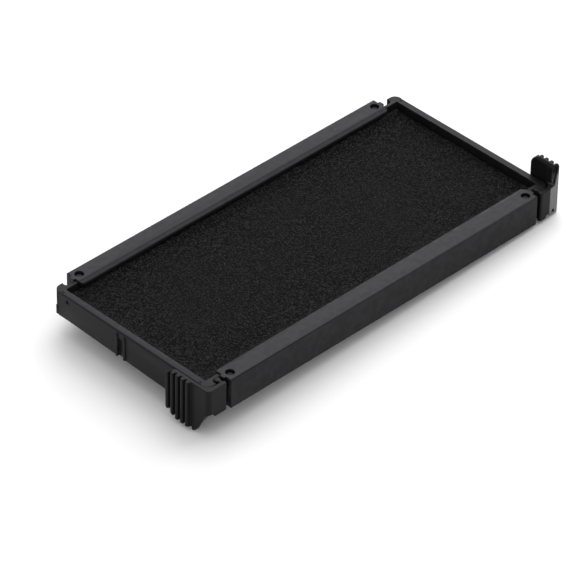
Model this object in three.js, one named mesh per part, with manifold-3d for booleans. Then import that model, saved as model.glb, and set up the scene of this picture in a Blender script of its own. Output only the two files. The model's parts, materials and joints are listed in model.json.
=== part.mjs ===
// Replacement ink pad cartridge for a self-inking stamp.
//
// A shallow tray holds a foam core under a felt surface. Two rails clip over the tray's long
// edges and hold the felt down, each fixed by two small pins. The near corners carry finger
// grips whose round knobs turn in C-shaped sockets.
//
// Millimetres. X runs along the pad, Y across it (the grips are at -Y), Z up. The origin is the
// centre of the tray's underside.

import * as THREE from 'three';
import { mergeVertices } from 'three/addons/utils/BufferGeometryUtils.js';
import Module from 'manifold-3d';

const wasm = await Module();
wasm.setup();

// ---------- Driving dimensions ----------

const padLength = 102.0; // over the end walls
const padWidth = 49.6; // over the rails
const padHeight = 7.35; // underside to rail tops
const gap = 0.3; // between pieces that rest on each other
const edgeRound = 0.35; // soft outer edges of the mouldings

// Tray
const endWall = 1.75;
const sideWall = 0.75;
const floorThickness = 1.2;
const wallTopDrop = 0.35; // the walls stop this far below the rail tops
const sideInset = 3.85; // rail's outer face to the felt side of the side wall
const ledgeThickness = 1.0;
const ledgeWidth = 1.95; // reach of the side ledges under the rails

// Rails
const railInset = 5.35; // end wall's outer face to the rail's end
const railWeb = 0.9; // outer side of the rail
const railTopThickness = 1.0;
const railPlateau = 3.8; // flat part of the rail's top
const railReach = 4.9; // outer face to inner lip
const bandStep = 0.15; // where the plateau drops to the inner band
const bandDrop = 0.35; // how far the lip's top lies below the plateau
const lipRound = 0.9; // plan corner at each end of the lip
const lipDepth = 0.85;
const lipWidth = 0.8;
const railFootWidth = 2.2;
const railFootHeight = 0.9;
const railCap = 0.45; // closed ends
const capHoleRadius = 0.35;
const capHoleInset = 1.35; // from the rail's outer face
const capHoleDrop = 1.26; // from the rail's top
const jawLength = 0.6; // tab at each rail end that closes the corner socket
const jawWidth = 1.25;

// Rail pins
const pinEndInset = 1.65; // hole centre to the rail's end
const pinInset = 2.1; // hole centre to the rail's outer face
const pinHoleRadius = 1.0;
const pinHeadRadius = 0.8;
const pinHeadHeight = 0.5;
const pinShaftRadius = 0.5;
const pinShaftLength = 3.05;
const pinFit = 0.15; // radial clearance of the shaft in its post
const postLength = 2.2; // along X
const pinDome = 0.15; // soft ends of head and shaft

// Corner sockets and grips
const knobInsetX = 3.5; // knob centre to the end wall's outer face
const knobInsetY = 2.2; // knob centre to the rail's outer face
const knobRadius = 0.65;
const knobClearance = 0.3;
const bossRadius = 1.6;
const bossInsetX = 1.7; // boss centre to the end wall's outer face
const bossInsetY = 3.3; // boss centre to the rail's outer face
const mouthShare = 0.85; // the socket's mouth, as a share of its radius
const notchDepth = 0.5; // small V notch in the wall's top beside each boss
const notchWidth = 0.8;
const notchInset = 0.7; // notch centre to the end wall's outer face
const notchLength = 0.6;
const stemWidth = 0.6;
const armThickness = 1.1;
const armSlit = 1.15; // arm end to rail end
const gripWallGap = 0.3; // grip plate to the tray's end wall
const plateThickness = 0.8;
const ribHeight = 0.85;
const ribPitch = 1.46;
const ribCount = 5;
const ribShare = 0.56; // rib width as a share of the pitch
const ribDraft = 0.12; // slope of a rib's sides
const ribSoften = 0.2; // rounding of a rib's tip
const armRound = 0.45; // arm's end beside the slit
const cornerRound = 1.1; // the left grip's outside corner
const leftPlateStart = 4.4; // rail's outer face to the near end of the ribbed plate
const leftPlateWidth = 7.7;
const leftTopCorner = 2.2; // far top corner of the left plate
// Lower edge of the left grip: [distance in from its near face, height above the underside].
const leftFootEdge = [
  [0.2, 1.2], [1.1, 0.6], [1.75, -0.6], [2.8, -2.6], [3.5, -4.0], [4.1, -4.6], [4.6, -4.95], [4.85, -4.85],
];
const leftPlateEdge = [[4.95, -4.15], [8.2, -4.05], [9.6, -3.75], [10.3, -3.2], [10.7, -2.7], [11.7, -2.5]];
const leftPlateCornerDrop = 1.9; // far bottom corner of the left plate
const leftArmRise = 0.4; // the left arm's underside stands this far above the tray's
const leftArchStart = 0.8; // where the corner's arch begins, from the end wall's outer face
const rightPlateStart = 0.55;
const rightPlateWidth = 7.0;
const rightPlateCorner = 2.2;
const rightGripRise = 4.6; // the right grip's top, above the rails
const rightTopChamfer = 0.5; // inner top edge of the right plate
const shoulderLength = 1.6; // right grip: level part of the plain face
const crankInset = 1.3; // right grip: where the plain face leaves the end wall's line
const crankEdge = 0.5; // right grip: thickness of the slanted edge at its top
const rightPlateDrop = 0.5; // the right plate's foot, below the underside
// Right grip's plain face, as [distance past the turn, height above the underside].
const crankLowerEdge = [[-1.1, 0], [-0.8, 0.75], [2.8, -rightPlateDrop]];
const crankHole = [[0.8, 0.75], [2.0, 0.2], [1.4, 1.45]];

// Ink core and felt
const feltThickness = 0.55;
const feltTop = 5.0; // above the underside
const feltRound = 0.2;

// Small details of the end walls
const catchGrooveWidth = 1.75;
const catchRidgeWidth = 0.5;
const catchRidgeProud = 0.25;
const catchRidgeHeight = 6.2;
const catchHeight = 5.1;
const catchCentre = 2.45; // off the wall's middle
const catchGrooveDepth = 0.5;
const keyHoleSize = 1.2;
const keyHoleInset = 6.05; // from the rail's outer face
const keyHoleHeight = 5.85;
const keyHoleDepth = 0.7;
const beadLow = 1.15;
const beadHigh = 3.0;
const beadRadius = 0.7;
const beadInset = 0.6; // bead centre to the end wall's outer face
const beadShift = 0.35; // bead centre past the boss centre
const leadIn = 1.0; // the end walls' underside rises this much towards the far corners
const leadInFlat = 6.8; // level part, from the rail's outer face
const leadInStart = 34.8; // where the rise begins, from the far rail's outer face

const arcSteps = 10;

// ---------- Worked out ----------

const halfLength = padLength / 2;
const halfWidth = padWidth / 2;
const halfRail = halfLength - railInset;
const wallTop = padHeight - wallTopDrop;
const innerX = halfLength - endWall;
const innerY = halfWidth - sideInset;
const sideOuterY = innerY + sideWall;
const railUnderside = padHeight - railTopThickness;
const lowWallTop = railUnderside - gap;
const knobX = halfLength - knobInsetX;
const knobY = halfWidth - knobInsetY;
const socketRadius = knobRadius + knobClearance;
const bossX = halfLength - bossInsetX;
const bossY = halfWidth - bossInsetY;
const pinX = halfRail - pinEndInset;
const pinY = halfWidth - pinInset;
const postEnd = pinX + pinShaftRadius + pinFit + gap;
const armInnerY = halfWidth - armThickness;
const armEndX = halfRail + armSlit;
const plateInnerX = halfLength + gripWallGap;
const plateOuterX = plateInnerX + plateThickness;
const ribTipX = plateOuterX + ribHeight;
const clear = 1; // how far cutting solids run past the faces that they cut

// ---------- Materials ----------

function plastic(hex, roughness) {
  return new THREE.MeshStandardMaterial({ color: hex, roughness, metalness: 0 });
}

const trayPlastic = plastic(0x2e2e31, 0.5);
const railPlastic = plastic(0x343438, 0.42);
const gripPlastic = plastic(0x2a2a2c, 0.5);
const pinPlastic = plastic(0x3c3c40, 0.35);
const inkFelt = new THREE.MeshStandardMaterial({ color: 0x141414, roughness: 1, metalness: 0 });
const inkFoam = new THREE.MeshStandardMaterial({ color: 0x1c1c20, roughness: 1, metalness: 0 });

// ---------- Solid helpers ----------

function toSolid(geometry) {
  const bare = geometry.clone();
  bare.deleteAttribute('normal');
  bare.deleteAttribute('uv');
  const merged = mergeVertices(bare, 1e-5);
  return new wasm.Manifold(new wasm.Mesh({
    numProp: 3,
    vertProperties: new Float32Array(merged.attributes.position.array),
    triVerts: new Uint32Array(merged.index.array),
  }));
}

function toMesh(name, solid, material) {
  const data = solid.getMesh();
  const geometry = new THREE.BufferGeometry();
  geometry.setAttribute('position', new THREE.BufferAttribute(new Float32Array(data.vertProperties), 3));
  geometry.setIndex(new THREE.BufferAttribute(new Uint32Array(data.triVerts), 1));
  geometry.computeVertexNormals();
  const mesh = new THREE.Mesh(geometry, material);
  mesh.name = name;
  return mesh;
}

function box(x0, x1, y0, y1, z0, z1) {
  const geometry = new THREE.BoxGeometry(x1 - x0, y1 - y0, z1 - z0);
  geometry.translate((x0 + x1) / 2, (y0 + y1) / 2, (z0 + z1) / 2);
  return toSolid(geometry);
}

// A disc or pin standing on z0.
function post(x, y, radius, z0, z1) {
  const shape = new THREE.Shape();
  shape.absarc(x, y, radius, 0, 2 * Math.PI, false);
  return prismZ(shape, z0, z1, 3 * arcSteps);
}

function extrude(shape, depth, segments) {
  return new THREE.ExtrudeGeometry(shape, { depth, bevelEnabled: false, curveSegments: segments });
}

// The shape lies in XY and is extruded up from z0 to z1.
function prismZ(shape, z0, z1, segments = arcSteps) {
  const geometry = extrude(shape, z1 - z0, segments);
  geometry.translate(0, 0, z0);
  return toSolid(geometry);
}

// The shape's points are (y, z) and it is extruded along X from x0 to x1.
function prismX(shape, x0, x1, segments = arcSteps) {
  const geometry = extrude(shape, x1 - x0, segments);
  const axes = new THREE.Matrix4().makeBasis(
    new THREE.Vector3(0, 1, 0),
    new THREE.Vector3(0, 0, 1),
    new THREE.Vector3(1, 0, 0),
  );
  geometry.applyMatrix4(axes);
  geometry.translate(x0, 0, 0);
  return toSolid(geometry);
}

// The shape's points are (x, z) and it is extruded along Y from y0 to y1.
function prismY(shape, y0, y1, segments = arcSteps) {
  const geometry = extrude(shape, y1 - y0, segments);
  const axes = new THREE.Matrix4().makeBasis(
    new THREE.Vector3(1, 0, 0),
    new THREE.Vector3(0, 0, 1),
    new THREE.Vector3(0, -1, 0),
  );
  geometry.applyMatrix4(axes);
  geometry.translate(0, y1, 0);
  return toSolid(geometry);
}

function polygon(points) {
  const shape = new THREE.Shape();
  shape.moveTo(...points[0]);
  points.slice(1).forEach((point) => shape.lineTo(...point));
  shape.closePath();
  return shape;
}

function union(solids) {
  return solids.reduce((sum, solid) => sum.add(solid));
}

// Points of an arc about (cx, cy), angles in degrees.
function arcPoints(cx, cy, radius, from, to) {
  const points = [];
  for (let i = 0; i <= arcSteps; i += 1) {
    const angle = THREE.MathUtils.degToRad(from + ((to - from) * i) / arcSteps);
    points.push([cx + radius * Math.cos(angle), cy + radius * Math.sin(angle)]);
  }
  return points;
}

// Runs a piece's maker for each corner; sx and sy are the corner's signs.
function corners(make) {
  return [[-1, -1], [1, -1], [1, 1], [-1, 1]].map(([sx, sy]) => make(sx, sy));
}

// Two distances from the centre as a rising pair, on the side that the sign gives.
function span(sign, a, b) {
  return [sign * a, sign * b].sort((low, high) => low - high);
}

function spanBox(sx, x0, x1, sy, y0, y1, z0, z1) {
  return box(...span(sx, x0, x1), ...span(sy, y0, y1), z0, z1);
}

// ---------- Tray ----------

function endWallProfile(sx) {
  // (x, z): an upright wall with a soft outer top edge.
  const outer = sx * halfLength;
  const inner = sx * innerX;
  const shape = new THREE.Shape();
  shape.moveTo(inner, 0);
  shape.lineTo(outer, 0);
  shape.lineTo(outer, wallTop - edgeRound);
  shape.absarc(
    outer - sx * edgeRound,
    wallTop - edgeRound,
    edgeRound,
    sx > 0 ? 0 : Math.PI,
    Math.PI / 2,
    sx < 0,
  );
  shape.lineTo(inner, wallTop);
  shape.closePath();
  return shape;
}

function cornerBoss(sx, sy) {
  const round = post(sx * bossX, sy * bossY, bossRadius, 0, wallTop);
  const jaw = spanBox(sx, knobX, bossX, sy, sideOuterY - gap, bossY + bossRadius, 0, wallTop);
  const highWall = spanBox(sx, halfRail + gap, bossX, sy, innerY, sideOuterY, 0, wallTop);
  return round.add(jaw).add(highWall);
}

function cornerCuts(sx, sy) {
  const socket = post(sx * knobX, sy * knobY, socketRadius, -clear, padHeight + clear);
  const mouth = spanBox(
    sx,
    knobX - socketRadius,
    knobX + socketRadius * mouthShare,
    sy,
    knobY,
    halfWidth,
    -clear,
    padHeight + clear,
  );
  const notchX = halfLength - notchInset;
  const notch = polygon([
    [sx * (notchX - notchWidth / 2), wallTop + gap],
    [sx * (notchX + notchWidth / 2), wallTop + gap],
    [sx * notchX, wallTop - notchDepth],
  ]);
  const notchY = bossY - bossRadius / 2;
  return [socket, mouth, prismY(notch, ...span(sy, notchY - notchLength / 2, notchY + notchLength / 2))];
}

// Bead low on the empty far corners.
function cornerBead(sx) {
  return post(sx * (halfLength - beadInset), bossY + beadShift, beadRadius, beadLow, beadHigh);
}

function pinPost(sx, sy) {
  return spanBox(
    sx,
    postEnd - postLength,
    postEnd,
    sy,
    sideOuterY,
    sideOuterY + ledgeWidth,
    floorThickness,
    lowWallTop,
  );
}

function pinBore(sx, sy) {
  const depth = pinShaftLength + gap;
  return post(sx * pinX, sy * pinY, pinShaftRadius + pinFit, railUnderside - depth, padHeight);
}

// Catch low in each end wall: a groove between two ridges.
function catchRidges(sx) {
  const centre = -sx * catchCentre;
  const offset = (catchGrooveWidth + catchRidgeWidth) / 2;
  return [-offset, offset].map((shift) => {
    const low = centre + shift - catchRidgeWidth / 2;
    const xs = span(sx, halfLength - catchGrooveDepth, halfLength + catchRidgeProud);
    return box(...xs, low, low + catchRidgeWidth, 0, catchRidgeHeight);
  });
}

function catchGroove(sx) {
  const centre = -sx * catchCentre;
  const xs = span(sx, halfLength - catchGrooveDepth, halfLength + clear);
  const half = catchGrooveWidth / 2;
  return box(...xs, centre - half, centre + half, -clear, catchHeight);
}

// The end walls' underside rises towards the far corners, so that the pad slides in easily.
function leadInCut(sx) {
  const shape = polygon([
    [halfWidth - leadInStart, 0],
    [halfWidth - leadInStart, -clear],
    [halfWidth, -clear],
    [halfWidth, leadIn],
    [halfWidth - leadInFlat, leadIn],
  ]);
  return prismX(shape, ...span(sx, innerX, halfLength + clear));
}

// Small three-cornered key hole in each end wall, near the corner away from the catch.
function keyHole(sx) {
  const y = -sx * (halfWidth - keyHoleInset);
  const half = keyHoleSize / 2;
  const shape = polygon([
    [y - half, keyHoleHeight - half],
    [y + half, keyHoleHeight - half],
    [y, keyHoleHeight + half],
  ]);
  return prismX(shape, ...span(sx, halfLength - keyHoleDepth, halfLength + clear));
}

function makeTray() {
  const floorX = halfRail - railCap - gap;
  const floorY = halfWidth - railFootWidth - gap;
  const solids = [
    box(-halfLength + edgeRound, halfLength - edgeRound, -sideOuterY, sideOuterY, 0, floorThickness),
    box(-floorX, floorX, -floorY, floorY, 0, floorThickness),
  ];
  for (const sx of [-1, 1]) {
    solids.push(prismY(endWallProfile(sx), -bossY, bossY));
    solids.push(...catchRidges(sx));
    solids.push(cornerBead(sx));
  }
  for (const sy of [-1, 1]) {
    solids.push(spanBox(1, -innerX, innerX, sy, innerY, sideOuterY, 0, lowWallTop));
    solids.push(spanBox(
      1,
      -postEnd,
      postEnd,
      sy,
      innerY,
      sideOuterY + ledgeWidth,
      floorThickness,
      floorThickness + ledgeThickness,
    ));
  }
  solids.push(...corners(cornerBoss));
  solids.push(...corners(pinPost));
  let tray = union(solids);
  const hollow = box(-innerX, innerX, -innerY, innerY, floorThickness, padHeight);
  const cuts = [hollow, ...corners(cornerCuts).flat(), ...corners(pinBore)];
  for (const sx of [-1, 1]) {
    cuts.push(catchGroove(sx), keyHole(sx), leadInCut(sx));
  }
  tray = tray.subtract(union(cuts));
  return toMesh('tray', tray, trayPlastic);
}

// ---------- Rails ----------

// (y, z) section of a hollow clip-on rail; side is -1 for the near rail, 1 for the far one.
function railSection(side) {
  const outer = halfWidth;
  const web = outer - railWeb;
  const lip = outer - railReach;
  const step = outer - railPlateau;
  const lipTop = padHeight - bandDrop;
  const lipBottom = lipTop - lipDepth;
  const soft = edgeRound * 0.3; // half-way point of the rounded edge
  const points = [
    [outer, 0],
    [outer, padHeight - edgeRound],
    [outer - soft, padHeight - soft],
    [outer - edgeRound, padHeight],
    [step, padHeight],
    [step - soft, padHeight - bandStep],
    [lip + bandStep, lipTop],
    [lip, lipTop - bandStep],
    [lip, lipBottom],
    [lip + lipWidth, lipBottom],
    [lip + lipWidth, railUnderside],
    [web, railUnderside],
    [web, railFootHeight],
    [outer - railFootWidth, railFootHeight],
    [outer - railFootWidth, 0],
  ];
  const turned = points.map(([y, z]) => [side * y, z]);
  return polygon(side > 0 ? turned : turned.reverse());
}

function railEnd(sx, sy) {
  const cap = spanBox(
    sx,
    halfRail - railCap,
    halfRail,
    sy,
    sideOuterY + gap,
    halfWidth - edgeRound,
    0,
    padHeight - bandDrop,
  );
  const jaw = spanBox(
    sx,
    halfRail - railCap,
    halfRail + jawLength,
    sy,
    sideOuterY + gap,
    sideOuterY + gap + jawWidth,
    0,
    padHeight,
  );
  return cap.add(jaw);
}

function railCuts(sx, sy) {
  const lip = halfWidth - railReach;
  const round = arcPoints(halfRail - lipRound, lip + lipRound, lipRound, 0, -90);
  const corner = polygon([
    ...round.map(([x, y]) => [sx * x, sy * y]),
    [sx * (halfRail - lipRound), sy * (lip - clear)],
    [sx * (halfRail + clear), sy * (lip - clear)],
    [sx * (halfRail + clear), sy * (lip + lipRound)],
  ]);
  const holeShape = new THREE.Shape();
  holeShape.absarc(
    sy * (halfWidth - capHoleInset),
    padHeight - capHoleDrop,
    capHoleRadius,
    0,
    2 * Math.PI,
    false,
  );
  return [
    prismZ(corner, railUnderside - lipDepth, padHeight + clear),
    post(sx * pinX, sy * pinY, pinHoleRadius, railUnderside - gap, padHeight + clear),
    prismX(holeShape, ...span(sx, halfRail - 2 * railCap, halfRail + clear)),
    post(sx * knobX, sy * knobY, socketRadius, -clear, padHeight + clear),
  ];
}

function makeRail(name, sy) {
  let rail = prismX(railSection(sy), -halfRail, halfRail);
  for (const sx of [-1, 1]) {
    rail = rail.add(railEnd(sx, sy));
  }
  for (const sx of [-1, 1]) {
    rail = rail.subtract(union(railCuts(sx, sy)));
  }
  return toMesh(name, rail, railPlastic);
}

// ---------- Rail pins ----------

function makePin(name, sx, sy) {
  const profile = [
    [0, -pinShaftLength],
    [pinShaftRadius - pinDome, -pinShaftLength],
    [pinShaftRadius, -pinShaftLength + pinDome],
    [pinShaftRadius, 0],
    [pinHeadRadius, 0],
    [pinHeadRadius, pinHeadHeight - pinDome],
    [pinHeadRadius - pinDome, pinHeadHeight],
    [0, pinHeadHeight],
  ].map(([r, z]) => new THREE.Vector2(r, z));
  const geometry = new THREE.LatheGeometry(profile, 2 * arcSteps);
  geometry.rotateX(Math.PI / 2);
  geometry.translate(sx * pinX, sy * pinY, railUnderside);
  return toMesh(name, toSolid(geometry), pinPlastic);
}

// ---------- Ink core and felt ----------

const softX = innerX - gap;
const softY = innerY - gap;

function rectangle(x, y) {
  return polygon([[-x, -y], [x, -y], [x, y], [-x, y]]);
}

function makeCore() {
  const slab = prismZ(rectangle(softX, softY), floorThickness + gap, feltTop - feltThickness - gap);
  return toMesh('ink_core', slab, inkFoam);
}

function makeFelt() {
  const bottom = feltTop - feltThickness;
  const geometry = new THREE.ExtrudeGeometry(rectangle(softX - feltRound, softY - feltRound), {
    depth: feltThickness - feltRound,
    bevelThickness: feltRound,
    bevelSize: feltRound,
    bevelSegments: 2,
  });
  geometry.translate(0, 0, bottom);
  const felt = toSolid(geometry).intersect(box(-softX, softX, -softY, softY, bottom, feltTop));
  return toMesh('ink_cloth', felt, inkFelt);
}

// ---------- Grips ----------

// Ribs down a plate's outer side, from near to far, as points on the plan outline. The last rib
// runs out flush with the plate's far end.
function ribPoints(nearY, farY) {
  const half = (ribPitch * ribShare) / 2;
  const lastCentre = farY - half - ribDraft;
  const points = [];
  for (let i = 0; i < ribCount; i += 1) {
    const y = lastCentre - (ribCount - 1 - i) * ribPitch;
    if (y - half - ribDraft > nearY) {
      points.push([plateOuterX, y - half - ribDraft]);
      points.push([ribTipX - ribDraft, y - half]);
      points.push([ribTipX, y - half + ribSoften]);
      points.push([ribTipX, y + half - ribSoften]);
      points.push([ribTipX - ribDraft, y + half]);
      points.push([plateOuterX, y + half + ribDraft]);
    }
  }
  points.pop();
  return points;
}

// A grip's plan outline, drawn for the right side and turned over for the left one.
function gripPlan(side, outline) {
  const turned = outline.map(([x, y]) => [side * x, y]);
  return polygon(side > 0 ? turned : turned.reverse());
}

// The arm's rounded end beside the slit.
function armStart() {
  return [
    ...arcPoints(armEndX + armRound, -armInnerY - armRound, armRound, 90, 180),
    ...arcPoints(armEndX + armRound, -halfWidth + armRound, armRound, 180, 270),
  ];
}

// The arm's inside, curving round the corner boss.
function armInside() {
  const radius = halfLength - bossX + gripWallGap;
  return arcPoints(plateInnerX - radius, -armInnerY + radius, radius, 0, -90);
}

// Knob, and the stem that joins it to the arm.
function knob(side) {
  const round = post(side * knobX, -knobY, knobRadius, 0, padHeight);
  const half = stemWidth / 2;
  const stem = spanBox(side, knobX - half, knobX + half, -1, knobY, armInnerY + gap, 0, padHeight);
  return round.add(stem);
}

// The left grip: a plain web round the corner, then the ribbed plate hanging below the tray.
function makeLeftGrip() {
  const nearY = -halfWidth + leftPlateStart;
  const farY = nearY + leftPlateWidth;
  const outline = [
    ...armStart(),
    ...arcPoints(plateOuterX - cornerRound, -halfWidth + cornerRound, cornerRound, 270, 360),
    ...ribPoints(nearY, farY),
    [plateInnerX, farY],
    ...armInside(),
  ];
  const lowest = Math.min(...leftFootEdge.map(([, z]) => z));
  const blank = prismZ(gripPlan(-1, outline), lowest, padHeight);
  // (y, z): the foot climbs steeply from the ribs to the corner.
  const side = polygon([
    [-halfWidth - clear, leftFootEdge[0][1]],
    ...leftFootEdge.map(([inset, z]) => [-halfWidth + inset, z]),
    ...leftPlateEdge.map(([inset, z]) => [-halfWidth + inset, z]),
    [farY, -leftPlateCornerDrop],
    ...arcPoints(farY - leftTopCorner, padHeight - leftTopCorner, leftTopCorner, 0, 90),
    [-halfWidth - clear, padHeight],
  ]);
  const cornerX = halfLength - leftArchStart;
  const arm = spanBox(-1, armEndX, cornerX, -1, knobY, halfWidth, leftArmRise, padHeight);
  const mask = prismX(side, -ribTipX - clear, -cornerX + gap).add(arm);
  return toMesh('left_grip', blank.intersect(mask).add(knob(-1)), gripPlastic);
}

// The right grip: its plain face turns outward at the corner, and the plate stands up from it.
function makeRightGrip() {
  const nearY = -halfWidth + rightPlateStart;
  const farY = nearY + rightPlateWidth;
  const turnX = halfLength - crankInset;
  const outline = [
    ...armStart(),
    [turnX, -halfWidth],
    [ribTipX, nearY],
    ...ribPoints(nearY, farY),
    [plateInnerX, farY],
    ...armInside(),
  ];
  const top = padHeight + rightGripRise;
  const blank = prismZ(gripPlan(1, outline), -rightPlateDrop, top);
  // (x, z): level shoulder, then a steep edge up to the plate's top.
  const shoulder = polygon([
    [armEndX, 0],
    ...crankLowerEdge.map(([past, z]) => [turnX + past, z]),
    [ribTipX, -rightPlateDrop],
    [ribTipX, top],
    [ribTipX - crankEdge, top],
    [ribTipX - crankEdge - gap / 2, top - rightTopChamfer],
    [turnX + shoulderLength, padHeight],
    [armEndX, padHeight],
  ]);
  const faceEnd = -halfWidth + armThickness + gap;
  const slant = prismY(shoulder, -halfWidth, faceEnd);
  // (y, z): the plate's far corners are round.
  const elevation = polygon([
    [faceEnd - gap, -rightPlateDrop],
    ...arcPoints(farY - rightPlateCorner, rightPlateCorner - rightPlateDrop, rightPlateCorner, -90, 0),
    ...arcPoints(farY - rightPlateCorner, top - rightPlateCorner, rightPlateCorner, 0, 90),
    [faceEnd - gap, top],
  ]);
  const chamfer = polygon([
    [plateInnerX - clear, top - rightTopChamfer - clear],
    [plateInnerX + rightTopChamfer + clear, top + clear],
    [plateInnerX - clear, top + clear],
  ]);
  const plate = prismX(elevation, plateInnerX - gap / 2, ribTipX + clear)
    .subtract(prismY(chamfer, -halfWidth, farY + clear));
  const [[stepPast], [, stepRise]] = crankLowerEdge;
  const insideY = bossY - bossRadius;
  const arm = spanBox(1, armEndX, turnX + stepPast, -1, insideY, halfWidth, 0, padHeight)
    .add(spanBox(1, turnX + stepPast, plateInnerX, -1, insideY, -faceEnd, stepRise, padHeight));
  const holeShape = polygon(crankHole.map(([past, z]) => [turnX + past, z]));
  const hole = prismY(holeShape, -halfWidth - clear, faceEnd - gap);
  const grip = blank.intersect(slant.add(plate).add(arm)).add(knob(1)).subtract(hole);
  return toMesh('right_grip', grip, gripPlastic);
}

// ---------- Assembly ----------

const inkPad = new THREE.Group();
inkPad.add(makeTray());
inkPad.add(makeRail('near_rail', -1));
inkPad.add(makeRail('far_rail', 1));
inkPad.add(makePin('pin_near_left', -1, -1));
inkPad.add(makePin('pin_near_right', 1, -1));
inkPad.add(makePin('pin_far_right', 1, 1));
inkPad.add(makePin('pin_far_left', -1, 1));
inkPad.add(makeCore());
inkPad.add(makeFelt());
inkPad.add(makeLeftGrip());
inkPad.add(makeRightGrip());

export default inkPad;
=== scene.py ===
"""Looks for a replacement ink pad cartridge: moulded black plastic round a pad of inked felt.

Laid out as an add-on and run as a script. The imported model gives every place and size. Lengths are
in metres, X runs along the pad, the finger grips are at -Y and Z is up.
"""

import json
import math
import random

import bmesh
import bpy
from mathutils import Matrix, Vector, noise


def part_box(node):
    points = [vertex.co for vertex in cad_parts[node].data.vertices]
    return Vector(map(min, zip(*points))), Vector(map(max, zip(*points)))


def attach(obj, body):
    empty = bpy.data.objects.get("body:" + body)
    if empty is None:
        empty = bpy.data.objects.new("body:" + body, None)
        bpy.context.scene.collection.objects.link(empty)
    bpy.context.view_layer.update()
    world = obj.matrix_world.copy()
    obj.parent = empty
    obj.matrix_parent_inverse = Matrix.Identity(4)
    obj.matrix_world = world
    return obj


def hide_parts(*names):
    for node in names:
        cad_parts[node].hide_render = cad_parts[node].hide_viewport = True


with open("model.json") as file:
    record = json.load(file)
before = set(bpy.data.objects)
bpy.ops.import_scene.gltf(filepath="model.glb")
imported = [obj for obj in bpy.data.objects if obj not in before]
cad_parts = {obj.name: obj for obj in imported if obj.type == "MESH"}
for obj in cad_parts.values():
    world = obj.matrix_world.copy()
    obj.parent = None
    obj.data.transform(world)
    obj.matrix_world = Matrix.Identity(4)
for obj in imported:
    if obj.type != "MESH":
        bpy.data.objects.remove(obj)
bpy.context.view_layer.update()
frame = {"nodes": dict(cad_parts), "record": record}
SLOTS = {row["node"]: row["material_slot"] for row in frame["record"]["subparts"]}
CLOTH_LOW, CLOTH_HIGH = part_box("ink_cloth")
CORE_LOW, CORE_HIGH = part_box("ink_core")
TRAY_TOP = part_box("tray")[1].z
RAIL_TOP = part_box("near_rail")[1].z

MM = 0.001
SEED = 11
TINT = (0.98, 0.95, 1.0, 1.0)  # cool sheen of the black plastic
DUST = (0.09, 0.09, 0.09, 1)
# Roughness and specular level of each kind of moulding
FINISHES = {
    "tray": (0.46, 0.15),
    "rail": (0.42, 0.12),
    "grip": (0.45, 0.13),
    "pin": (0.3, 0.07),
}
# Each soft light: azimuth and elevation in degrees, distance and size in metres, and its colour
LIGHTS = {
    "key": (112, 39, 1.4, 1.8, (0.99, 0.98, 1)),
    "top": (150, 75, 1.6, 1.2, (1, 0.99, 0.98)),
}
SHEET_CELLS = (56, 24)  # of the simulated felt, along and across
SHEET_FRAMES = 20

bl_info = {
    "name": "Ink Pad Cartridge",
    "version": (1, 0, 0),
    "blender": (4, 5, 0),
    "location": "3D View > Sidebar > Ink Pad",
    "description": "Finishes the mouldings, felt and foam of an ink pad cartridge and sets its stage",
    "category": "Object",
}


# ---------- Settings ----------


class MouldingSettings(bpy.types.PropertyGroup):
    """Sizes and colours of the plastic mouldings."""

    tray_colour: bpy.props.FloatVectorProperty(
        name="Tray colour", description="Black plastic of the tray", subtype="COLOR",
        size=3, min=0, max=1, default=(0.0076, 0.0073, 0.0079),
    )
    rail_colour: bpy.props.FloatVectorProperty(
        name="Rail colour", description="Black plastic of the two rails", subtype="COLOR",
        size=3, min=0, max=1, default=(0.0078, 0.0074, 0.0082),
    )
    grip_colour: bpy.props.FloatVectorProperty(
        name="Grip colour", description="Black plastic of the finger grips", subtype="COLOR",
        size=3, min=0, max=1, default=(0.0068, 0.0065, 0.007),
    )
    pin_colour: bpy.props.FloatVectorProperty(
        name="Pin colour", description="Dark plastic of the rail pins", subtype="COLOR",
        size=3, min=0, max=1, default=(0.006, 0.006, 0.0065),
    )
    edge_width: bpy.props.FloatProperty(
        name="Edge width", description="Width of the softened edges", unit="LENGTH",
        min=0, default=0.15 * MM,
    )
    rail_edge_width: bpy.props.FloatProperty(
        name="Rail edge width", description="Width of the rails' softened edges", unit="LENGTH",
        min=0, default=0.1 * MM,
    )
    pin_edge_width: bpy.props.FloatProperty(
        name="Pin edge width", description="Width of the pins' softened edges", unit="LENGTH",
        min=0, default=0.04 * MM,
    )
    shortest_edge: bpy.props.FloatProperty(
        name="Shortest edge", description="Shorter edges than this stay crisp on the tray",
        unit="LENGTH", min=0, default=1.5 * MM,
    )
    grip_voxel: bpy.props.FloatProperty(
        name="Grip voxel", description="Cell of the grips' softened surface", unit="LENGTH",
        min=0.05 * MM, default=0.09 * MM,
    )
    grip_softness: bpy.props.IntProperty(
        name="Grip softness", description="How often the grips' surface is smoothed",
        min=0, default=7,
    )
    sharp_angle: bpy.props.FloatProperty(
        name="Sharp angle", description="Edges that turn by more than this are softened",
        subtype="ANGLE", default=math.radians(32),
    )
    grain_depth: bpy.props.FloatProperty(
        name="Grain depth", description="Height of the moulded grain", unit="LENGTH",
        min=0, default=0.012 * MM,
    )


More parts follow.
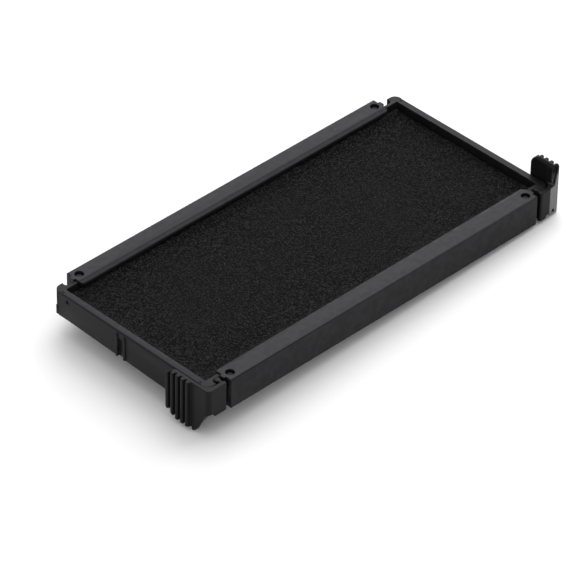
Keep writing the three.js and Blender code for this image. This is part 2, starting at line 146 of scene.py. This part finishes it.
class FeltSettings(bpy.types.PropertyGroup):
    """Sizes and colours of the inked felt and the foam under it."""

    # Felt between the fibres: the ink's own near-black, which also serves as painted shade in the
    # hollows
    low_colour: bpy.props.FloatVectorProperty(
        name="Felt shadow colour", description="Ink-soaked felt between the fibres",
        subtype="COLOR", size=3, min=0, max=1, default=(0.0003, 0.0003, 0.0004),
    )
    high_colour: bpy.props.FloatVectorProperty(
        name="Felt fibre colour", description="Fibre tips that stand out of the ink",
        subtype="COLOR", size=3, min=0, max=1, default=(0.0205, 0.0205, 0.0213),
    )
    foam_colour: bpy.props.FloatVectorProperty(
        name="Foam colour", description="Ink-soaked foam core", subtype="COLOR",
        size=3, min=0, max=1, default=(0.010, 0.010, 0.012),
    )
    cell: bpy.props.FloatProperty(
        name="Felt cell", description="Spacing of the felt's surface points", unit="LENGTH",
        min=0.2 * MM, default=0.42 * MM,
    )
    nap: bpy.props.FloatProperty(
        name="Nap", description="Height of the felt's nap", unit="LENGTH",
        min=0, default=0.09 * MM,
    )
    edge_lift: bpy.props.FloatProperty(
        name="Edge lift", description="How far the felt turns up against the end walls",
        unit="LENGTH", min=0, default=0.65 * MM,
    )
    rail_lift: bpy.props.FloatProperty(
        name="Rail lift", description="How far the felt turns up under the rails' lips",
        unit="LENGTH", min=0, default=1.0 * MM,
    )
    rail_reach: bpy.props.FloatProperty(
        name="Rail reach", description="Width of the felt's turned-up sides", unit="LENGTH",
        min=0.1 * MM, default=3.3 * MM,
    )
    edge_reach: bpy.props.FloatProperty(
        name="Edge reach", description="Width of the felt's turned-up edge", unit="LENGTH",
        min=0.1 * MM, default=1.6 * MM,
    )
    swell_peak: bpy.props.FloatProperty(
        name="Swell peak", description="Highest swell of the soaked felt", unit="LENGTH",
        min=0, default=0.3 * MM,
    )
    fibres: bpy.props.IntProperty(
        name="Loose fibres", description="Number of loose fibres on the felt", min=0, default=450,
    )


class StageSettings(bpy.types.PropertyGroup):
    """Camera, lights and floor."""

    azimuth: bpy.props.FloatProperty(
        name="Azimuth", description="Camera's turn round the pad from -Y", subtype="ANGLE",
        default=math.radians(-45.2),
    )
    elevation: bpy.props.FloatProperty(
        name="Elevation", description="Camera's height above the horizon", subtype="ANGLE",
        default=math.radians(37.5),
    )
    roll: bpy.props.FloatProperty(
        name="Roll", description="Camera's roll", subtype="ANGLE", default=math.radians(1.07),
    )
    distance: bpy.props.FloatProperty(
        name="Distance", description="Camera to the pad", unit="LENGTH", default=0.99456,
    )
    aim_right: bpy.props.FloatProperty(
        name="Aim right", description="Aim to the right of the pad's middle", unit="LENGTH",
        default=-4.229 * MM,
    )
    aim_up: bpy.props.FloatProperty(
        name="Aim up", description="Aim above the pad's middle", unit="LENGTH",
        default=-10.73 * MM,
    )
    lens: bpy.props.FloatProperty(
        name="Lens", description="Focal length in millimetres", unit="CAMERA", default=296.8,
    )
    floor_size: bpy.props.FloatProperty(
        name="Floor size", description="Side of the floor", unit="LENGTH", default=12.0,
    )
    floor_colour: bpy.props.FloatVectorProperty(
        name="Floor colour", description="Plain pale floor", subtype="COLOR", size=3,
        min=0, max=1, default=(0.86, 0.86, 0.865),
    )
    key_power: bpy.props.FloatProperty(
        name="Key power", description="Soft light beyond the right end", unit="POWER",
        default=20.0,
    )
    top_power: bpy.props.FloatProperty(
        name="Top power", description="Wide soft light overhead", unit="POWER", default=6.0,
    )
    sky_strength: bpy.props.FloatProperty(
        name="Surround strength", description="Even light from all round", default=0.8,
    )


# ---------- Shader maths ----------


class Number:
    """A shader socket that takes part in arithmetic. Each sign adds a Math node."""

    def __init__(self, recipe, socket):
        self.recipe = recipe
        self.socket = socket

    def maths(self, operation, *values):
        made = self.recipe.node("ShaderNodeMath", {"operation": operation}, dict(enumerate(values)))
        return Number(self.recipe, made.outputs[0])

    def __add__(self, other):
        return self.maths("ADD", self, other)

    def __radd__(self, other):
        return self.maths("ADD", other, self)

    def __sub__(self, other):
        return self.maths("SUBTRACT", self, other)

    def __rsub__(self, other):
        return self.maths("SUBTRACT", other, self)

    def __mul__(self, other):
        return self.maths("MULTIPLY", self, other)

    def __rmul__(self, other):
        return self.maths("MULTIPLY", other, self)

    def __abs__(self):
        return self.maths("ABSOLUTE", self)

    def step(self, low, high):
        """0 below low, 1 above high and smooth between; low may be the larger."""
        span = high - low
        share = self.maths("MULTIPLY", self - low, 1 / span)
        settings = {"interpolation_type": "SMOOTHSTEP"}
        made = self.recipe.node("ShaderNodeMapRange", settings, {"Value": share})
        return Number(self.recipe, made.outputs["Result"])


class Recipe:
    """A material in the making: one Principled shader and the nodes that feed it."""

    def __init__(self, name, **constants):
        self.material = bpy.data.materials.new(name)
        self.material.use_nodes = True
        self.tree = self.material.node_tree
        self.tree.nodes.clear()
        out = self.tree.nodes.new("ShaderNodeOutputMaterial")
        self.shader = self.node("ShaderNodeBsdfPrincipled", {}, constants)
        self.tree.links.new(self.shader.outputs["BSDF"], out.inputs["Surface"])
        self.place = self.node("ShaderNodeTexCoord").outputs["Object"]

    def node(self, kind, settings=None, inputs=None):
        """Any node: its type, its settings, and the values or links of its sockets."""
        made = self.tree.nodes.new(kind)
        for key, value in (settings or {}).items():
            setattr(made, key, value)
        for key, value in (inputs or {}).items():
            self.feed(made.inputs[key], value)
        return made

    def feed(self, socket, value):
        if isinstance(value, Number):
            value = value.socket
        if isinstance(value, bpy.types.NodeSocket):
            self.tree.links.new(value, socket)
        else:
            socket.default_value = value

    def set(self, **inputs):
        for key, value in inputs.items():
            self.feed(self.shader.inputs[key.replace("_", " ")], value)

    def axis(self, name):
        """One coordinate of the piece, in metres."""
        made = self.node("ShaderNodeSeparateXYZ", {}, {"Vector": self.place})
        return Number(self, made.outputs[name])

    def stretched(self, scale):
        """The piece's coordinates, scaled along each axis."""
        made = self.node("ShaderNodeMapping", {}, {"Vector": self.place, "Scale": scale})
        return made.outputs["Vector"]

    def grain(self, scale, detail=2.0, roughness=0.5, vector=None):
        """Noise between 0 and 1, its scale in cells per metre."""
        place = vector or self.place
        inputs = {"Vector": place, "Scale": scale, "Detail": detail, "Roughness": roughness}
        return Number(self, self.node("ShaderNodeTexNoise", {}, inputs).outputs[0])

    def cells(self, scale):
        """Distance to the nearest cell's centre, in cells, with the scale in cells per metre."""
        inputs = {"Vector": self.place, "Scale": scale}
        return Number(self, self.node("ShaderNodeTexVoronoi", {}, inputs).outputs["Distance"])

    def attribute(self, name):
        made = self.node("ShaderNodeAttribute", {"attribute_name": name})
        return Number(self, made.outputs["Fac"])

    def blend(self, share, first, second):
        """A colour between two colours."""
        made = self.node("ShaderNodeMix", {"data_type": "RGBA"}, {0: share, 6: first, 7: second})
        return made.outputs[2]

    def bump(self, height, depth):
        inputs = {"Height": height, "Distance": depth, "Strength": 1.0}
        return self.node("ShaderNodeBump", {}, inputs).outputs["Normal"]


def opaque(colour, share=1.0):
    return (*[channel * share for channel in colour], 1.0)


# ---------- Materials ----------


def moulded_plastic(part, settings, marks=None, polish=None):
    """Black moulded plastic: spark-eroded grain, flow blotches, paler worn edges and dust."""
    colour = getattr(settings, f"{part}_colour")
    roughness, shine = FINISHES[part]
    constants = {"IOR": 1.46, "Specular IOR Level": shine, "Specular Tint": TINT}
    recipe = Recipe(f"{part}_plastic", **constants)
    fine = recipe.grain(5200, detail=2)
    blotch = recipe.grain(90, detail=3, roughness=0.6)
    flow = recipe.grain(1, detail=4, vector=recipe.stretched((40, 420, 420)))
    worn = recipe.attribute("rim") * recipe.grain(700, detail=3).step(0.35, 0.65)
    speck = recipe.cells(520).step(0.085, 0.03) * recipe.grain(160).step(0.52, 0.62)
    shade = recipe.blend(blotch.step(0.3, 0.72), opaque(colour, 0.86), opaque(colour, 1.16))
    shade = recipe.blend(flow.step(0.45, 0.75) * 0.22, shade, opaque(colour, 1.5))
    shade = recipe.blend(fine.step(0.4, 0.7) * 0.3, shade, opaque(colour, 1.45))
    shade = recipe.blend(worn * 0.4, shade, opaque(colour, 2.1))
    shade = recipe.blend(speck * 0.25, shade, DUST)
    dull = roughness + (blotch - 0.5) * 0.16 + (fine - 0.5) * 0.12 - worn * 0.1
    surface = fine * 0.7 + recipe.grain(1700, detail=1) * 0.6
    if marks:
        mark = marks(recipe)
        shade = recipe.blend(mark * 0.55, shade, opaque(colour, 0.35))
        surface = surface - mark * 4.0
    recipe.set(Base_Color=shade, Roughness=dull, Normal=recipe.bump(surface, settings.grain_depth))
    if polish:
        recipe.set(Coat_Weight=polish(recipe) * (0.7 + blotch * 0.6), Coat_Roughness=0.25)
    return recipe.material


def slid_smooth(recipe):
    """The flat tops of the rails, polished where the stamp's frame slides over them."""
    strength = 0.07
    starts_at, full_at = RAIL_TOP - 0.12 * MM, RAIL_TOP - 0.04 * MM
    return recipe.axis("Z").step(starts_at, full_at) * strength


def finger_polish(recipe):
    """The slanted near face of the right grip, polished by the finger that pulls it."""
    outer = recipe.axis("X").step(49.5 * MM, 49.9 * MM)
    near = recipe.axis("Y").step(-22.8 * MM, -23.4 * MM)
    low = recipe.axis("Z").step(10.5 * MM, 9.5 * MM)
    return outer * near * low


def thumb_scratch(recipe):
    """A fine slanting scratch on the left grip's plain face."""
    along, height = recipe.axis("X"), recipe.axis("Z")
    middle_x, middle_z, slope = -47.8 * MM, 1.6 * MM, 0.42
    line = height - (along - middle_x) * slope - middle_z
    inside = along.step(-50.5 * MM, -50.0 * MM) * along.step(-46.6 * MM, -46.9 * MM)
    face = recipe.axis("Y").step(-24.3 * MM, -24.6 * MM)
    return abs(line).step(0.11 * MM, 0.03 * MM) * inside * face


def inked_felt(settings):
    """Needled felt soaked with black ink: matted fibres with dull grey tips, and painted shade in the
    hollows between them.
    """
    recipe = Recipe("ink_felt", **{"Specular IOR Level": 0.07})
    matted = recipe.grain(2700, detail=3, roughness=0.7)
    tufts = recipe.grain(1300, detail=2)
    fibres = recipe.grain(1, detail=3, vector=recipe.stretched((2900, 900, 2000)))
    cross = recipe.grain(1, detail=3, vector=recipe.stretched((900, 2900, 2000)))
    wet = recipe.grain(70, detail=3)
    # Tips lighter and hollows darker where the bump is low: partly the felt's own grey tips, partly
    # painted shade
    tips = (matted * 0.7 + fibres * 0.16 + cross * 0.14).step(0.475, 0.57)
    share = tips * (0.55 + tufts * 0.6)
    shade = recipe.blend(share, opaque(settings.low_colour), opaque(settings.high_colour))
    shade = recipe.blend(wet.step(0.45, 0.75) * 0.3, shade, opaque(settings.low_colour, 1.6))
    dull = 0.86 - wet.step(0.5, 0.75) * 0.1
    normal = recipe.bump(matted + tufts * 0.5 + fibres * 0.4 + cross * 0.4, 0.16 * MM)
    recipe.set(Base_Color=shade, Roughness=dull, Normal=normal)
    return recipe.material


def felt_fibre(settings):
    recipe = Recipe("felt_fibre", **{"Roughness": 0.8, "Sheen Weight": 0.2})
    tint = recipe.grain(400).step(0.35, 0.7)
    shade = recipe.blend(tint, opaque(settings.high_colour, 0.3), opaque(settings.high_colour, 1.2))
    recipe.set(Base_Color=shade)
    return recipe.material


def inked_foam(settings):
    """Open-cell foam, soaked with ink."""
    recipe = Recipe("ink_foam", **{"Roughness": 0.9, "IOR": 1.4})
    colour = settings.foam_colour
    cell = recipe.cells(1500)
    damp = recipe.grain(120)
    # Painted shade: each pore's hollow is drawn darker than the cell walls round it
    shade = recipe.blend(cell.step(0.2, 0.6), opaque(colour, 0.3), opaque(colour, 1.6))
    shade = recipe.blend(damp * 0.4, shade, opaque(colour, 0.6))
    recipe.set(Base_Color=shade, Normal=recipe.bump(cell, 0.2 * MM))
    return recipe.material


def pale_floor(settings):
    recipe = Recipe("pale_floor", **{"Roughness": 0.75, "Specular IOR Level": 0.2})
    recipe.set(Base_Color=opaque(settings.floor_colour))
    return recipe.material


# ---------- Mesh helpers ----------


def piece_from(bm, name, material=None, smooth=True):
    """A finished bmesh as an object at the origin."""
    for face in bm.faces:
        face.smooth = smooth
    mesh = bpy.data.meshes.new(name)
    bm.to_mesh(mesh)
    bm.free()
    if material:
        mesh.materials.append(material)
    made = bpy.data.objects.new(name, mesh)
    bpy.context.scene.collection.objects.link(made)
    return made


def settle(piece, body, slot, *nodes):
    """Rides the piece on its body and stands it in for its CAD nodes."""
    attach(piece, body)
    if nodes:
        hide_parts(*nodes)
    return piece


def merged_copy(node):
    """A CAD node's solid with its corners joined and its flat faces made whole."""
    bm = bmesh.new()
    bm.from_mesh(frame["nodes"][node].data)
    same_place, flat = 0.001 * MM, math.radians(0.6)
    bmesh.ops.remove_doubles(bm, verts=bm.verts, dist=same_place)
    bmesh.ops.dissolve_limit(bm, angle_limit=flat, verts=bm.verts, edges=bm.edges)
    return bm


def carries_on(edge, other, vert):
    """Whether another edge carries on from this one past their shared corner."""
    one = (edge.other_vert(vert).co - vert.co).normalized()
    two = (vert.co - other.other_vert(vert).co).normalized()
    nearly_straight = 0.8
    return one.dot(two) > nearly_straight


def has_room(edge, width):
    """Whether the edges that cross this one's ends are long enough for it to be rounded."""
    long_enough = 3 * width
    return all(
        other is edge or carries_on(edge, other, vert) or other.calc_length() > long_enough
        for vert in edge.verts for other in vert.link_edges
    )


def soften_edges(bm, width, angle, shortest):
    """Rounds the sharp edges and marks the rounded faces as rim, for the paler worn edges."""
    rim = bm.verts.layers.float.new("rim")
    bm.normal_update()
    sharp = [
        e for e in bm.edges
        if e.calc_face_angle(0) > angle and e.calc_length() > shortest and has_room(e, width)
    ]
    rounded = bmesh.ops.bevel(
        bm, geom=sharp, offset=width, offset_type="OFFSET", segments=3, profile=0.5,
        affect="EDGES", clamp_overlap=False, loop_slide=True, material=-1,
    )
    for face in rounded["faces"]:
        for vert in face.verts:
            vert[rim] = 1.0
    bmesh.ops.recalc_face_normals(bm, faces=bm.faces)


def moulding(node, body, material, settings, width, shortest=0):
    """A plastic piece: the CAD solid with softened, worn edges."""
    bm = merged_copy(node)
    soften_edges(bm, width, settings.sharp_angle, shortest)
    piece = piece_from(bm, f"{node}_moulding", material)
    piece.modifiers.new("even_normals", "WEIGHTED_NORMAL").keep_sharp = True
    return settle(piece, body, SLOTS[node], node)


def soft_moulding(node, body, material, settings):
    """A small plastic piece whose edges and corners are all rounded: remeshed, then smoothed."""
    piece = piece_from(merged_copy(node), f"{node}_moulding", material)
    remesh = piece.modifiers.new("fine_cells", "REMESH")
    remesh.mode = "VOXEL"
    remesh.voxel_size = settings.grip_voxel
    remesh.use_smooth_shade = True
    smooth = piece.modifiers.new("soft_edges", "SMOOTH")
    smooth.factor = 0.5
    smooth.iterations = settings.grip_softness
    return settle(piece, body, SLOTS[node], node)


# ---------- Felt ----------


def swell_heights(scene, settings, low, high):
    """How far the soaked felt swells at a place, as a function of x and y.

    Its shape is that of a simulated sheet, held at its edges and pressed up, with the peak brought to
    the chosen height.
    """
    size = high - low
    bm = bmesh.new()
    along, across = SHEET_CELLS
    bmesh.ops.create_grid(bm, x_segments=along, y_segments=across, size=0.5)
    bmesh.ops.scale(bm, verts=bm.verts, vec=(size.x, size.y, 1))
    sheet = piece_from(bm, "felt_swell")
    held = sheet.vertex_groups.new(name="held")
    at_edge = 0.01 * MM
    edge = [
        v.index for v in sheet.data.vertices
        if size.x / 2 - abs(v.co.x) < at_edge or size.y / 2 - abs(v.co.y) < at_edge
    ]
    held.add(edge, 1.0, "REPLACE")
    cloth = sheet.modifiers.new("swell", "CLOTH")
    cloth.settings.quality = 6
    cloth.settings.mass = 0.2
    cloth.settings.vertex_group_mass = "held"
    cloth.settings.effector_weights.gravity = 0
    cloth.settings.use_pressure = True
    cloth.settings.uniform_pressure_force = 4
    cloth.settings.tension_stiffness = 40
    cloth.settings.compression_stiffness = 40
    for step in range(1, SHEET_FRAMES + 1):
        scene.frame_set(step)
    graph = bpy.context.evaluated_depsgraph_get()
    made = sheet.evaluated_get(graph).to_mesh()
    rows = {}
    for point, swollen in zip(sheet.data.vertices, made.vertices):
        key = (round(point.co.x / size.x * along), round(point.co.y / size.y * across))
        rows[key] = swollen.co.z
    top = max(rows.values(), default=0) or 1.0
    scene.frame_set(1)
    bpy.data.objects.remove(sheet)
    heights = {key: settings.swell_peak * max(0.0, value) / top for key, value in rows.items()}
    middle = (low + high) / 2

    def height(x, y):
        column = (x - middle.x) / size.x * along
        row = (y - middle.y) / size.y * across
        left, near = math.floor(column), math.floor(row)
        right_share, far_share = column - left, row - near
        corners = [heights.get((left + a, near + b), 0.0) for a in (0, 1) for b in (0, 1)]
        at_left = corners[0] * (1 - far_share) + corners[1] * far_share
        at_right = corners[2] * (1 - far_share) + corners[3] * far_share
        return at_left * (1 - right_share) + at_right * right_share

    return height


def felt_top(settings, low, high, swell, x, y):
    """Height of the felt's surface at a place, without its nap."""
    to_end = min(high.x - x, x - low.x)
    ragged = 0.75 + 0.5 * noise.noise(Vector((x * 40, y * 160, 8.4)))
    end_rise = settings.edge_lift * ragged * math.exp(-((to_end / settings.edge_reach) ** 2))
    to_side = min(high.y - y, y - low.y)
    share = max(0.0, 1 - to_side / settings.rail_reach)
    side_rise = settings.rail_lift * share * share * (3 - 2 * share)
    wave = 0.12 * MM * noise.noise(Vector((x * 55, y * 70, 3.1))) * (1 - share)
    return high.z + swell(x, y) + wave + max(end_rise, side_rise) - settings.nap


def felt_surface(settings, low, high, swell):
    """The felt as a closed slab with a fine napped top and soft edges."""
    size = high - low
    corner_drop, corner_fade = 0.25 * MM, 0.2 * MM
    along, across = round(size.x / settings.cell), round(size.y / settings.cell)
    bm = bmesh.new()
    bmesh.ops.create_grid(bm, x_segments=along, y_segments=across, size=0.5)
    bmesh.ops.scale(bm, verts=bm.verts, vec=(size.x, size.y, 1))
    middle = (low + high) / 2
    bmesh.ops.translate(bm, verts=bm.verts, vec=(middle.x, middle.y, low.z))
    grown = bmesh.ops.extrude_face_region(bm, geom=bm.faces[:], use_keep_orig=True)
    raised = [v for v in grown["geom"] if isinstance(v, bmesh.types.BMVert)]
    for vert in raised:
        x, y = vert.co.x, vert.co.y
        to_rim = min(high.x - x, x - low.x, high.y - y, y - low.y)
        soft = corner_drop * math.exp(-to_rim / corner_fade)
        fine = noise.fractal(Vector((x * 2100, y * 2100, 0.7)), 0.9, 2.1, 3)
        broad = noise.noise(Vector((x * 760, y * 760, 5.2)))
        nap = settings.nap * (0.7 * fine + 0.6 * broad)
        vert.co.z = felt_top(settings, low, high, swell, x, y) + nap - soft
    bmesh.ops.recalc_face_normals(bm, faces=bm.faces)
    return piece_from(bm, "felt_pad", inked_felt(settings))


def strand(bm, points, widths):
    """A thin bent strand along the points, drawn out from a small triangle."""
    facing = (points[1] - points[0]).to_track_quat("Z", "Y").to_matrix().to_4x4()
    place = Matrix.Translation(points[0]) @ facing
    start = bmesh.ops.create_circle(bm, cap_ends=True, radius=widths[0], segments=3, matrix=place)
    tip = start["verts"][0].link_faces[0]
    for k in range(1, len(points)):
        grown = bmesh.ops.extrude_face_region(bm, geom=[tip])["geom"]
        tip = next(part for part in grown if isinstance(part, bmesh.types.BMFace))
        bmesh.ops.translate(bm, verts=tip.verts[:], vec=points[k] - points[k - 1])
        scale = Vector((1, 1, 1)) * (widths[k] / widths[k - 1])
        bmesh.ops.scale(bm, verts=tip.verts[:], vec=scale, space=Matrix.Translation(-points[k]))


def loose_fibres(settings, low, high, swell):
    """Short bent fibres that lie loose on the felt, all in one mesh."""
    draw = random.Random(SEED)
    bm = bmesh.new()
    joints, radius, border = 4, 0.02 * MM, 1.5 * MM
    lift, rise, thinning = 0.05 * MM, 0.12 * MM, 0.6
    for _ in range(settings.fibres):
        x = draw.uniform(low.x + border, high.x - border)
        y = draw.uniform(low.y + border, high.y - border)
        heading = draw.uniform(0, 2 * math.pi)
        curl = draw.uniform(-0.9, 0.9)
        length = draw.uniform(0.4, 1.3) * MM
        points = []
        widths = []
        for k in range(joints):
            share = k / (joints - 1)
            arch = lift + rise * math.sin(math.pi * share)
            z = felt_top(settings, low, high, swell, x, y) + settings.nap * 0.6 + arch
            points.append(Vector((x, y, z)))
            widths.append(radius * (1 - thinning * abs(2 * share - 1)))
            heading += curl / joints
            x += math.cos(heading) * length / joints
            y += math.sin(heading) * length / joints
        strand(bm, points, widths)
    bmesh.ops.recalc_face_normals(bm, faces=bm.faces)
    return piece_from(bm, "felt_loose_fibres", felt_fibre(settings))


# ---------- Operators ----------


class INKPAD_OT_tray(bpy.types.Operator):
    """Finish the tray as black moulded plastic with softened edges"""

    bl_idname = "inkpad.tray"
    bl_label = "Tray"

    def execute(self, context):
        settings = context.scene.inkpad_moulding
        plastic = moulded_plastic("tray", settings)
        moulding("tray", "pad", plastic, settings, settings.edge_width, settings.shortest_edge)
        return {"FINISHED"}


class INKPAD_OT_rails(bpy.types.Operator):
    """Finish the two clip-on rails"""

    bl_idname = "inkpad.rails"
    bl_label = "Rails"

    def execute(self, context):
        settings = context.scene.inkpad_moulding
        plastic = moulded_plastic("rail", settings, polish=slid_smooth)
        for node in ("near_rail", "far_rail"):
            moulding(node, "pad", plastic, settings, settings.rail_edge_width)
        return {"FINISHED"}


class INKPAD_OT_grips(bpy.types.Operator):
    """Finish the two finger grips"""

    bl_idname = "inkpad.grips"
    bl_label = "Grips"

    def execute(self, context):
        settings = context.scene.inkpad_moulding
        plastic = moulded_plastic("grip", settings, marks=thumb_scratch, polish=finger_polish)
        for node in ("left_grip", "right_grip"):
            soft_moulding(node, node, plastic, settings)
        return {"FINISHED"}


class INKPAD_OT_pins(bpy.types.Operator):
    """Finish the four rail pins"""

    bl_idname = "inkpad.pins"
    bl_label = "Rail pins"

    def execute(self, context):
        settings = context.scene.inkpad_moulding
        plastic = moulded_plastic("pin", settings)
        nodes = sorted(name for name in frame["nodes"] if name.startswith("pin_"))
        if len(nodes) != 4:
            raise RuntimeError("the pad has four rail pins")
        for node in nodes:
            moulding(node, "pad", plastic, settings, settings.pin_edge_width)
        return {"FINISHED"}


class INKPAD_OT_core(bpy.types.Operator):
    """Make the foam core that holds the ink under the felt"""

    bl_idname = "inkpad.core"
    bl_label = "Foam core"

    def execute(self, context):
        settings = context.scene.inkpad_felt
        rounding, pore_depth, pores_per_metre = 0.4 * MM, 0.05 * MM, 900
        middle = (CORE_LOW + CORE_HIGH) / 2
        bm = bmesh.new()
        bmesh.ops.create_cube(bm, size=1.0)
        bmesh.ops.scale(bm, verts=bm.verts, vec=CORE_HIGH - CORE_LOW)
        bmesh.ops.translate(bm, verts=bm.verts, vec=middle)
        bmesh.ops.bevel(
            bm, geom=bm.edges[:], offset=rounding, offset_type="OFFSET", segments=3, profile=0.5,
            affect="EDGES", clamp_overlap=True, material=-1,
        )
        long_edges = [e for e in bm.edges if e.calc_length() > 20 * MM]
        bmesh.ops.subdivide_edges(bm, edges=long_edges, cuts=40, use_grid_fill=True)
        for vert in bm.verts:
            pore = abs(noise.noise(vert.co * pores_per_metre))
            vert.co -= (vert.co - middle).normalized() * pore_depth * pore
        core = piece_from(bm, "foam_core", inked_foam(settings))
        settle(core, "pad", "ink_foam", "ink_core")
        return {"FINISHED"}


class INKPAD_OT_felt(bpy.types.Operator):
    """Make the inked felt: swollen by a cloth simulation, then napped, with loose fibres"""

    bl_idname = "inkpad.felt"
    bl_label = "Inked felt"

    def execute(self, context):
        settings = context.scene.inkpad_felt
        low, high = CLOTH_LOW, CLOTH_HIGH
        swell = swell_heights(context.scene, settings, low, high)
        felt = felt_surface(settings, low, high, swell)
        settle(felt, "pad", "ink_felt", "ink_cloth")
        loose = loose_fibres(settings, low, high, swell)
        settle(loose, "pad", "ink_felt")
        return {"FINISHED"}


# ---------- Stage ----------


def lowest_point(node, key=lambda co: 0.0):
    """The lowest vertex of a CAD node; key breaks ties."""
    same_height = 0.01 * MM
    points = [v.co.copy() for v in frame["nodes"][node].data.vertices]
    bottom = min(p.z for p in points)
    return min((p for p in points if p.z < bottom + same_height), key=key)


def resting_matrix():
    """The floor's place: through the grips' feet and the far rail's end, then below every point."""
    left = lowest_point("left_grip")
    right = lowest_point("right_grip")
    far = lowest_point("far_rail", key=lambda co: -co.x - co.y)
    up = (right - left).cross(far - left).normalized()
    if up.z < 0:
        up = -up
    along = (right - left).normalized()
    across = up.cross(along)
    turn = Matrix((along, across, up)).transposed().to_4x4()
    middle = (left + right) / 2
    points = [v.co for node in frame["nodes"].values() for v in node.data.vertices]
    drop = min((point - middle).dot(up) for point in points)
    return Matrix.Translation(middle + up * drop) @ turn


def soft_box(name, place, target, size, power, colour):
    """A square area light that faces the target and isn't seen itself."""
    lamp = bpy.data.lights.new(name, "AREA")
    lamp.shape = "SQUARE"
    lamp.size = size
    lamp.energy = power
    lamp.color = colour
    made = bpy.data.objects.new(name, lamp)
    bpy.context.scene.collection.objects.link(made)
    made.location = place
    made.rotation_mode = "QUATERNION"
    made.rotation_quaternion = (place - target).to_track_quat("Z", "Y")
    made.visible_camera = False
    return made


def direction(azimuth, elevation):
    """From the pad towards a place; azimuth 0 is -Y and 90 degrees is +X."""
    flat = math.cos(elevation)
    return Vector((math.sin(azimuth) * flat, -math.cos(azimuth) * flat, math.sin(elevation)))


class INKPAD_OT_stage(bpy.types.Operator):
    """Set the plain pale floor, the soft lights and the camera"""

    bl_idname = "inkpad.stage"
    bl_label = "Stage"

    def execute(self, context):
        settings = context.scene.inkpad_stage
        scene = context.scene
        self.floor(settings)
        target = Vector((0, 0, TRAY_TOP))
        for name, (azimuth, elevation, distance, size, colour) in LIGHTS.items():
            toward = direction(math.radians(azimuth), math.radians(elevation))
            power = getattr(settings, f"{name}_power")
            soft_box(f"{name}_light", target + toward * distance, target, size, power, colour)
        scene.world = bpy.data.worlds.new("surround")
        scene.world.use_nodes = True
        surround = scene.world.node_tree.nodes["Background"]
        surround.inputs["Color"].default_value = (1, 1, 1, 1)
        surround.inputs["Strength"].default_value = settings.sky_strength
        scene.view_settings.view_transform = "Standard"
        self.camera(settings)
        return {"FINISHED"}

    def floor(self, settings):
        bm = bmesh.new()
        bmesh.ops.create_grid(bm, x_segments=1, y_segments=1, size=settings.floor_size / 2)
        bmesh.ops.transform(bm, matrix=resting_matrix(), verts=bm.verts)
        floor = piece_from(bm, "floor", pale_floor(settings), smooth=False)

    def camera(self, settings):
        back = direction(settings.azimuth, settings.elevation)
        side = Vector((math.cos(settings.azimuth), math.sin(settings.azimuth), 0))
        rise = back.cross(side)
        roll = settings.roll
        right = side * math.cos(roll) + rise * math.sin(roll)
        up = rise * math.cos(roll) - side * math.sin(roll)
        top = Vector((0, 0, RAIL_TOP))
        place = top + right * settings.aim_right + up * settings.aim_up + back * settings.distance
        view = bpy.data.cameras.new("camera")
        view.lens = settings.lens
        view.sensor_width = 36
        view.clip_start = 0.05
        view.clip_end = 40
        made = bpy.data.objects.new("camera", view)
        bpy.context.scene.collection.objects.link(made)
        turn = Matrix((right, up, back)).transposed().to_4x4()
        made.matrix_world = Matrix.Translation(place) @ turn
        bpy.context.scene.camera = made


# ---------- Panel and registration ----------

PIECES = (
    INKPAD_OT_stage,
    INKPAD_OT_tray,
    INKPAD_OT_rails,
    INKPAD_OT_grips,
    INKPAD_OT_pins,
    INKPAD_OT_core,
    INKPAD_OT_felt,
)
SETTINGS = {
    "inkpad_moulding": MouldingSettings,
    "inkpad_felt": FeltSettings,
    "inkpad_stage": StageSettings,
}


class INKPAD_PT_pieces(bpy.types.Panel):
    """Sizes, colours and pieces of the ink pad cartridge"""

    bl_label = "Ink Pad"
    bl_idname = "INKPAD_PT_pieces"
    bl_space_type = "VIEW_3D"
    bl_region_type = "UI"
    bl_category = "Ink Pad"

    def draw(self, context):
        layout = self.layout
        for name, group in SETTINGS.items():
            box = layout.box()
            for prop in group.__annotations__:
                box.prop(getattr(context.scene, name), prop)
        for piece in PIECES:
            layout.operator(piece.bl_idname)


def register():
    for group in (*SETTINGS.values(), *PIECES, INKPAD_PT_pieces):
        bpy.utils.register_class(group)
    for name, group in SETTINGS.items():
        setattr(bpy.types.Scene, name, bpy.props.PointerProperty(type=group))


def unregister():
    for name in SETTINGS:
        delattr(bpy.types.Scene, name)
    for group in reversed((*SETTINGS.values(), *PIECES, INKPAD_PT_pieces)):
        bpy.utils.unregister_class(group)


def main():
    register()
    for piece in PIECES:
        group, name = piece.bl_idname.split(".")
        getattr(getattr(bpy.ops, group), name)()


if __name__ == "__main__":
    main()
